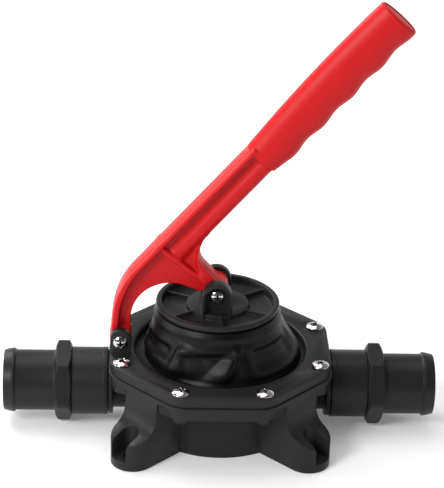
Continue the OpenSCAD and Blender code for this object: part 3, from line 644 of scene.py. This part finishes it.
def grip_edges(s):
    """Height of the grip's back and of its waved underside over the fixed pivot, at s along the arm."""
    back = GRIP_BACK - (GRIP_BACK - GRIP_BACK_START) * ((s - GRIP_START) / GRIP_CREST - 1) ** 2
    wave = np.cos(2 * math.pi * (s - GRIP_START - FIRST_WAVE) / FINGER_PITCH)
    return back, GRIP_LOW - FINGER_DEPTH * wave


def lever_solid(x, y, z):
    """Distance to the lever's surface in mm, negative inside; x and z give the side view, y goes across."""
    side = np.abs(y)
    s = (x - PIVOT[0]) * ARM_DIR[0] + (z - PIVOT[1]) * ARM_DIR[1]
    t = (x - PIVOT[0]) * ARM_UP[0] + (z - PIVOT[1]) * ARM_UP[1]
    edge = line_distance(x, z, LEVER_EDGE, closed=True)
    eye = np.hypot(x - PIVOT[0], z - PIVOT[1])
    link_eye = np.hypot(x - LINK[0], z - LINK[1])
    solid = rounded_slab(edge, side - WEB_HALF, 0.5)
    # back flange, a little thicker down the front leg
    flange_t = FLANGE_T + (LEG_T - FLANGE_T) * smooth_step(112, 88, z)
    flange = np.maximum(edge, line_distance(x, z, BACK_EDGE) - flange_t)
    solid = blend_in(solid, rounded_slab(flange, side - HALF_WIDTH, 1.1), 1.6)
    # rib from the link eye to the flange
    rib_x, rib_z = math.cos(RIB_ANGLE), math.sin(RIB_ANGLE)
    across = (z - LINK[1]) * rib_x - (x - LINK[0]) * rib_z
    behind = -(x - LINK[0]) * rib_x - (z - LINK[1]) * rib_z
    rib = np.maximum(np.maximum(np.abs(across) - RIB_HALF_T, edge), behind)
    solid = blend_in(solid, rounded_slab(rib, side - RIB_HALF_W, 0.8), 1.5)
    # rounded bar along the underside of the arm, from the rib to the grip
    wide = BAR_HALF_W - 1.0 * smooth_step(85, 45, s)
    bar = rounded_slab(np.abs(t - (ARM_LOW + BAR_HALF_H)) - BAR_HALF_H, side - wide, BAR_CORNER)
    bar = np.maximum(np.maximum(bar, s - GRIP_START - 4), across + 0.5)
    solid = blend_in(solid, bar, 2.4)
    # full-width lip down the right of the leg to the link, wider towards the eye
    lip_t = LIP_T + (EYE_LIP_T - LIP_T) * smooth_step(118, 98, z)
    lip = np.maximum(edge, line_distance(x, z, LINK_EDGE) - lip_t)
    lip = np.maximum(lip, t - ARM_LOW + 2.7)
    solid = blend_in(solid, rounded_slab(lip, side - HALF_WIDTH + 0.3, 1.0), 3.6)
    # the two eyes
    for distance, radius in ((eye, EYE_R), (link_eye, LINK_EYE_R)):
        solid = blend_in(solid, rounded_slab(distance - radius, side - HALF_WIDTH, 0.5), 1.6)
    # grip: oval in section, waved for the fingers, with a recess in its end for the cap
    back, low = grip_edges(s)
    low = low + 0.8 * smooth_step(5, 0, s - GRIP_START)
    middle, half = (back + low) / 2, (back - low) / 2
    squash = np.sqrt(((t - middle) / half) ** 2 + (y / GRIP_HALF_W) ** 2)
    stretch = ((t - middle) / half * GRIP_HALF_W) ** 2 + (y / GRIP_HALF_W * half) ** 2
    oval = (squash - 1) * half * GRIP_HALF_W / np.sqrt(stretch / np.maximum(squash, 1e-3) ** 2)
    ends = np.maximum(GRIP_START - s, s - GRIP_END)
    end_edge = np.where(s > (GRIP_START + GRIP_END) / 2, GRIP_END_EDGE, GRIP_START_EDGE)
    solid = blend_in(solid, rounded_slab(oval, ends, end_edge), 1.3)
    end_back, end_low = grip_edges(GRIP_END)
    cap_mid, cap_half = (end_back + end_low) / 2, (end_back - end_low) / 2 - CAP_RIM
    plug = (np.hypot((t - cap_mid) / cap_half, y / (GRIP_HALF_W - CAP_RIM)) - 1) * CAP_MEAN_R
    solid = np.maximum(solid, -np.maximum(plug, GRIP_END - CAP_RECESS - s))
    # bores: round at the fixed pivot, slotted along the lever at the link
    along = (LINK - PIVOT) / np.linalg.norm(LINK - PIVOT)
    u = (x - LINK[0]) * along[0] + (z - LINK[1]) * along[1]
    v = (z - LINK[1]) * along[0] - (x - LINK[0]) * along[1]
    slot = np.hypot(np.maximum(np.abs(u) - SLOT_REACH, 0), v) - SLOT_R
    return np.maximum(np.maximum(solid, PIN_BORE - eye), -slot)


PROBE = 0.02  # step in mm over which the slope of a solid's distance is taken


def net_mesh(name, solid, low, high, step):
    """Mesh of the surface where solid(x, y, z) is 0, on a grid of that step; all in mm."""
    axes = [np.arange(a, b + step, step) for a, b in zip(low, high)]
    value = solid(axes[0][:, None, None], axes[1][None, :, None], axes[2][None, None, :])
    shape = np.array(value.shape) - 1
    total, hits = np.zeros((*shape, 3)), np.zeros(shape)
    faces = []
    spans = [slice(0, -1), slice(1, None)]
    for axis in range(3):
        others = [a for a in range(3) if a != axis]
        for i in (0, 1):
            for j in (0, 1):
                pick = [None, None, None]
                pick[others[0]], pick[others[1]] = spans[i], spans[j]
                near, far = list(pick), list(pick)
                near[axis], far[axis] = spans[0], spans[1]
                a, b = value[tuple(near)], value[tuple(far)]
                crossed = (a < 0) != (b < 0)
                share = np.where(crossed, a / np.where(crossed, a - b, 1), 0)
                hits += crossed
                total[..., axis] += share
                total[..., others[0]] += i * crossed
                total[..., others[1]] += j * crossed
    used = hits > 0
    number = np.full(used.shape, -1)
    number[used] = np.arange(used.sum())
    where = np.argwhere(used)
    points = (where + total[used] / hits[used][:, None]) * step + np.array(low)
    for axis in range(3):
        others = [a for a in range(3) if a != axis]
        inner = [slice(1, -1)] * 3
        inner[axis] = slice(0, -1)
        far = list(inner)
        far[axis] = slice(1, None)
        a, b = value[tuple(inner)] < 0, value[tuple(far)] < 0
        cells = np.argwhere(a != b)
        outward = a[tuple(cells.T)]
        cells[:, others] += 1
        ring = []
        for i, j in ((0, 0), (1, 0), (1, 1), (0, 1)):
            corner = cells.copy()
            corner[:, others[0]] -= i
            corner[:, others[1]] -= j
            ring.append(number[tuple(corner.T)])
        quads = np.stack(ring, axis=-1)
        flip = outward if axis == 1 else ~outward
        quads[flip] = quads[flip][:, ::-1]
        faces.append(quads)
    for _ in range(2):  # lay each point on the surface itself, in two rounds
        x, y, z = points.T
        here = solid(x, y, z)
        slope = np.stack([(solid(*(points + d).T) - here) / PROBE for d in np.eye(3) * PROBE], axis=-1)
        move = -here[:, None] * slope / np.maximum((slope**2).sum(1), 0.25)[:, None]
        reach = np.linalg.norm(move, axis=1)
        points = points + move * np.minimum(1, 0.35 * step / np.maximum(reach, 1e-9))[:, None]
    mesh = bpy.data.meshes.new(name)
    mesh.from_pydata((points * MM).tolist(), [], np.concatenate(faces).tolist())
    return mesh


RED = moulded(
    "Red plastic", (0.52, 0.0062, 0.0084), 0.42, 0.2,
    tone=0.08, gloss=0.06, grain=700, cloud=22, grain_depth=0.000008,
)
LEVER_LOW, LEVER_HIGH = (-71, -10.6, 51.5), (112, 10.6, 283)  # box that the lever's grid fills
lever_step = 0.72
lever_mesh = net_mesh("lever_moulding", lever_solid, LEVER_LOW, LEVER_HIGH, lever_step)
lever = new_piece("lever_moulding", lever_mesh, RED, "lever", 50)
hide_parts("lever")

# ---------------------------------------------------------------- Grip cap
# Smooth oval plug, moulded in the same red plastic as the lever and pressed into the recess at the end of
# its grip.

CAP_EDGE = 0.5
eased("grip_cap", CAP_EDGE, RED, "lever", 3)

# ---------------------------------------------------------------- Pivot pins and nuts
# One stainless screw with a domed head runs through the ears of each clevis from the front, with a nut at
# its back end. The lever swings on the left one and slides a little on the right one.

EAR_OUT, PIN_R, PIN_PAST = 13.8, 2.5, 4.5
PIN_HEAD_R, PIN_HEAD_H = 4.6, 2.6
NUT_EDGE = 0.35


def pivot_screw(name, centre, body, node):
    """A pin along Y through both ears of a clevis, from its head in front; centre is its (x, z) in mm."""
    mesh = cross_head(name, PIN_HEAD_R, PIN_HEAD_H, PIN_R, 2 * EAR_OUT + PIN_PAST, slot=1.2, depth=1.4)
    for vertex in mesh.vertices:  # its axis turned from Z to -Y
        x, y, z = vertex.co
        vertex.co = (x + centre[0] * MM, -z - EAR_OUT * MM, y + centre[1] * MM)
    piece = new_piece(name, mesh, STEEL, body, 40)
    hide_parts(node)


pivot_screw("lever_pivot_screw", PIVOT, "base", "lever_pivot_pin")
pivot_screw("link_screw", LINK, "plate", "link_pin")
for node, body in (("lever_pivot_nut", "base"), ("link_nut", "plate")):
    eased(node, NUT_EDGE, STEEL, body)

# ---------------------------------------------------------------- Ports
# At each side a valve housing is screwed to the body, with a hose tail and its hexagonal collar outside
# it, all black nylon. The flap valves, gaskets and O-rings are inside.

PORT_Z, PORT_FACE = 25.8, 69.31
HOUSING_X, COLLAR_X = PORT_FACE + 0.6, PORT_FACE + 23.4
TAIL_X, LIP_X, END_X = COLLAR_X + 9.95, COLLAR_X + 35.5, COLLAR_X + 42.4
SPIGOT_END, SPIGOT_R, HOUSING_BORE = COLLAR_X - 6.7, 17.4, 17.5
GROOVE_X, GROOVE_HALF, GROOVE_R = COLLAR_X - 2.2, 1.0, 15.45
TAIL_R, LIP_R, TAIL_BORE, HOUSING_R = 19.0, 20.1, 14.5, 21.3
HEX_FLATS, HEX_CORNER, HEX_BEVEL, HEX_BEVEL_LEN = 45.0, 25.98, 3.5, 1.7


def corner_cut(points, radius, steps=4):
    """A line of (x, r) points with its inner corners rounded by the radius."""
    points = [np.array(p, float) for p in points]
    out = [points[0]]
    for before, here, after in zip(points, points[1:], points[2:]):
        u, v = before - here, after - here
        reach = min(radius, np.linalg.norm(u) * 0.45, np.linalg.norm(v) * 0.45)
        a, b = here + u / np.linalg.norm(u) * reach, here + v / np.linalg.norm(v) * reach
        for k in np.linspace(0, 1, steps):
            out.append((1 - k) ** 2 * a + 2 * k * (1 - k) * here + k**2 * b)
    return out + [points[-1]]


def along_port(name, profile, side, hexagon=None):
    """A turned piece on the port's axis from (x, radius) points, in mm; side is -1 or 1.

    hexagon is (turn in degrees, start, end): six flats between those two x.
    """
    sides = 192
    angle = np.linspace(0, 2 * math.pi, sides, endpoint=False)
    rows = []
    for x, r in profile:
        radius = np.full(sides, float(r))
        if hexagon is not None:
            turn, start, end = hexagon
            if start < x < end and r > TAIL_R:
                part = (np.degrees(angle) - side * turn) % 60 - 30
                flat = HEX_FLATS / 2 / np.cos(np.radians(part))
                radius = np.minimum(radius, flat - 0.35 * smooth_step(26, 30, np.abs(part)))
        y, z = radius * np.sin(angle), PORT_Z - radius * np.cos(angle)
        rows.append(np.column_stack((np.full(sides, side * x), y, z)))
    return polar_mesh(name, rows, closed=True)


for prefix, side, turn in (("inlet", -1, 18.0), ("outlet", 1, 35.0)):
    # valve housing, with a shallow step where its sleeve begins
    housing = corner_cut([
        (HOUSING_X, HOUSING_BORE),
        (HOUSING_X, HOUSING_R),
        (HOUSING_X + 3.0, HOUSING_R),
        (HOUSING_X + 3.2, HOUSING_R - 0.15),
        (COLLAR_X - 0.4, HOUSING_R - 0.15),
        (COLLAR_X, HOUSING_R - 0.5),
        (COLLAR_X, HOUSING_BORE),
        (HOUSING_X, HOUSING_BORE),
    ], 0.5)[:-1]
    mesh = along_port(prefix + "_housing_skin", housing, side)
    piece = new_piece(prefix + "_housing_skin", mesh, BLACK, "base", 50)
    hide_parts(prefix + "_valve_housing")
    # hose tail: spigot with the O-ring's groove, hexagonal collar with bevelled corners, barrel and lip
    spigot = corner_cut([
        (SPIGOT_END, TAIL_BORE),
        (SPIGOT_END, SPIGOT_R),
        (GROOVE_X - GROOVE_HALF, SPIGOT_R),
        (GROOVE_X - GROOVE_HALF, GROOVE_R),
        (GROOVE_X + GROOVE_HALF, GROOVE_R),
        (GROOVE_X + GROOVE_HALF, SPIGOT_R),
        (COLLAR_X, SPIGOT_R),
    ], 0.3)
    collar = [
        (x, HEX_CORNER - 0.2 - HEX_BEVEL * max(0, 1 - min(x - COLLAR_X, TAIL_X - x) / HEX_BEVEL_LEN))
        for x in np.linspace(COLLAR_X + 0.02, TAIL_X - 0.02, 24)
    ]
    barrel = corner_cut([
        (TAIL_X, TAIL_R + 1.2),
        (TAIL_X + 0.7, TAIL_R),
        (LIP_X - 0.6, TAIL_R),
        (LIP_X, LIP_R),
        (LIP_X + 1.5, LIP_R),
        (END_X, LIP_R - 1.2),
        (END_X, TAIL_BORE + 0.8),
        (END_X - 0.8, TAIL_BORE),
        (SPIGOT_END, TAIL_BORE),
    ], 0.7, 5)[:-1]
    mesh = along_port(prefix + "_tail_skin", spigot + collar + barrel, side, (turn, COLLAR_X, TAIL_X))
    piece = new_piece(prefix + "_tail_skin", mesh, BLACK, "base", 32)
    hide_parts(prefix + "_hose_tail")
    # the small parts inside keep the CAD shape and take their materials
    for part, material in (
        ("gasket", RUBBER_SKIN),
        ("o_ring", RUBBER_SKIN),
        ("flap", RUBBER_SKIN),
        ("valve_seat", BLACK),
        ("hinge_pin", STEEL),
    ):
        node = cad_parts[f"{prefix}_{part}"]
        node.data.materials.clear()
        node.data.materials.append(material)

# ---------------------------------------------------------------- Floor
# Sheet of pale matt paper laid flat under the pump. It keeps the pump's shadow and runs out to plain white
# further off.

FLOOR_HALF, FLOOR_Z = 6, -0.0002
floor_corners = [
    (x * FLOOR_HALF, y * FLOOR_HALF, FLOOR_Z) for x, y in ((-1, -1), (1, -1), (1, 1), (-1, 1))
]
floor_mesh = bpy.data.meshes.new("floor")
floor_mesh.from_pydata(floor_corners, [], [(0, 1, 2, 3)])
floor = bpy.data.objects.new("floor", floor_mesh)
bpy.context.scene.collection.objects.link(floor)
paper = bpy.data.materials.new("White paper")
paper.use_nodes = True
nodes, link = paper.node_tree.nodes, paper.node_tree.links.new
shader = nodes["Principled BSDF"]
shader.inputs["Base Color"].default_value = (0.86, 0.86, 0.86, 1)
shader.inputs["Roughness"].default_value = 0.9
shader.inputs["Specular IOR Level"].default_value = 0.1


def seen_directly(nodes, link):
    """Socket that is 1 for rays from the camera, and for those that a mirror or glass sends on."""
    path = nodes.new("ShaderNodeLightPath")
    last = path.outputs["Is Camera Ray"]
    for kind in ("Is Glossy Ray", "Is Transmission Ray"):
        either = nodes.new("ShaderNodeMath")
        either.operation = "MAXIMUM"
        link(last, either.inputs[0])
        link(path.outputs[kind], either.inputs[1])
        last = either.outputs[0]
    return last


# the paper brightens from its lift near the pump to plain white further off
place, far = nodes.new("ShaderNodeTexCoord"), nodes.new("ShaderNodeVectorMath")
rise, lift = nodes.new("ShaderNodeMapRange"), nodes.new("ShaderNodeMath")
far.operation, rise.interpolation_type, lift.operation = "LENGTH", "SMOOTHSTEP", "MULTIPLY"
link(place.outputs["Object"], far.inputs[0])
link(far.outputs["Value"], rise.inputs["Value"])
for socket, value in (("From Min", 0.12), ("From Max", 0.6), ("To Min", 0.12), ("To Max", 0.5)):
    rise.inputs[socket].default_value = value
link(rise.outputs["Result"], lift.inputs[0])
link(seen_directly(nodes, link), lift.inputs[1])
glow, both = nodes.new("ShaderNodeEmission"), nodes.new("ShaderNodeAddShader")
link(lift.outputs[0], glow.inputs["Strength"])
link(shader.outputs[0], both.inputs[0])
link(glow.outputs[0], both.inputs[1])
link(both.outputs[0], nodes["Material Output"].inputs["Surface"])
floor_mesh.materials.append(paper)


# ---------------------------------------------------------------- Lamps
# Round soft lamps. The main one is high at the front left; weaker ones stand at the back left, overhead
# and low on the left, with a faint fill on the right.


def lamp(name, place, target, size, power):
    """A round soft lamp aimed at a target; places and size in metres, power in watts."""
    data = bpy.data.lights.new(name, "AREA")
    data.shape, data.size, data.energy = "DISK", size, power
    thing = bpy.data.objects.new(name, data)
    thing.location = place
    thing.rotation_euler = (Vector(target) - Vector(place)).to_track_quat("-Z", "Y").to_euler()
    bpy.context.scene.collection.objects.link(thing)


lamp("high front left", (-0.9, -0.9, 0.9), (0, 0, 0.08), 0.6, 16)
lamp("back left", (-0.6, 0.75, 0.8), (0, 0, 0.06), 0.6, 6.5)
lamp("overhead", (-0.15, 0.25, 1.25), (0, 0, 0.06), 1.0, 6)
lamp("low left", (-1.3, -0.1, 0.35), (0, 0, 0.06), 0.5, 4.4)
lamp("right fill", (1.1, -0.5, 0.5), (0, 0, 0.06), 0.6, 1)

# ---------------------------------------------------------------- Room
# White backdrop round the horizon behind the pump, under a dimmer ceiling. Mirrors see the front of the
# room darker than the backdrop, and the light that the room gives is weaker than it looks.

world = bpy.data.worlds.new("White room")
bpy.context.scene.world = world
world.use_nodes = True
nodes, link = world.node_tree.nodes, world.node_tree.links.new
room, white = nodes["Background"], nodes.new("ShaderNodeBackground")
choose = nodes.new("ShaderNodeMixShader")
room.inputs["Color"].default_value = white.inputs["Color"].default_value = (1, 1, 1, 1)
room.inputs["Strength"].default_value = 0.42
place, parts, path = (nodes.new("ShaderNode" + kind) for kind in ("TexCoord", "SeparateXYZ", "LightPath"))
link(place.outputs["Generated"], parts.inputs[0])
shades = []
for axis, limits in (("Z", (0.05, 0.7, 1.0, 0.25)), ("Y", (-0.5, 0.4, 0.12, 1.0))):
    rise = nodes.new("ShaderNodeMapRange")
    rise.interpolation_type = "SMOOTHSTEP"
    for socket, value in zip(("From Min", "From Max", "To Min", "To Max"), limits):
        rise.inputs[socket].default_value = value
    link(parts.outputs[axis], rise.inputs["Value"])
    shades.append(rise.outputs["Result"])
for operation, socket in (("MULTIPLY", shades[0]), ("MAXIMUM", path.outputs["Is Camera Ray"])):
    step = nodes.new("ShaderNodeMath")
    step.operation = operation
    link(shades[-1], step.inputs[0])
    link(socket, step.inputs[1])
    shades.append(step.outputs[0])
link(shades[-1], white.inputs["Strength"])
link(seen_directly(nodes, link), choose.inputs[0])
link(room.outputs[0], choose.inputs[1])
link(white.outputs[0], choose.inputs[2])
link(choose.outputs[0], nodes["World Output"].inputs["Surface"])

bpy.context.scene.view_settings.view_transform = "Standard"

# ---------------------------------------------------------------- Camera
# A long lens, 1.3 m from the pump and in front of it. It looks down at about 26 degrees and is rolled a
# little to one side.

camera = bpy.data.objects.new("camera", bpy.data.cameras.new("camera"))
camera.data.lens = 152.809
camera.data.clip_end = 20
camera.location = (-0.047845, -1.141502, 0.672230)
camera.rotation_euler = [math.radians(a) for a in (64.284576, -1.617512, -1.582684)]
bpy.context.scene.collection.objects.link(camera)
bpy.context.scene.camera = camera
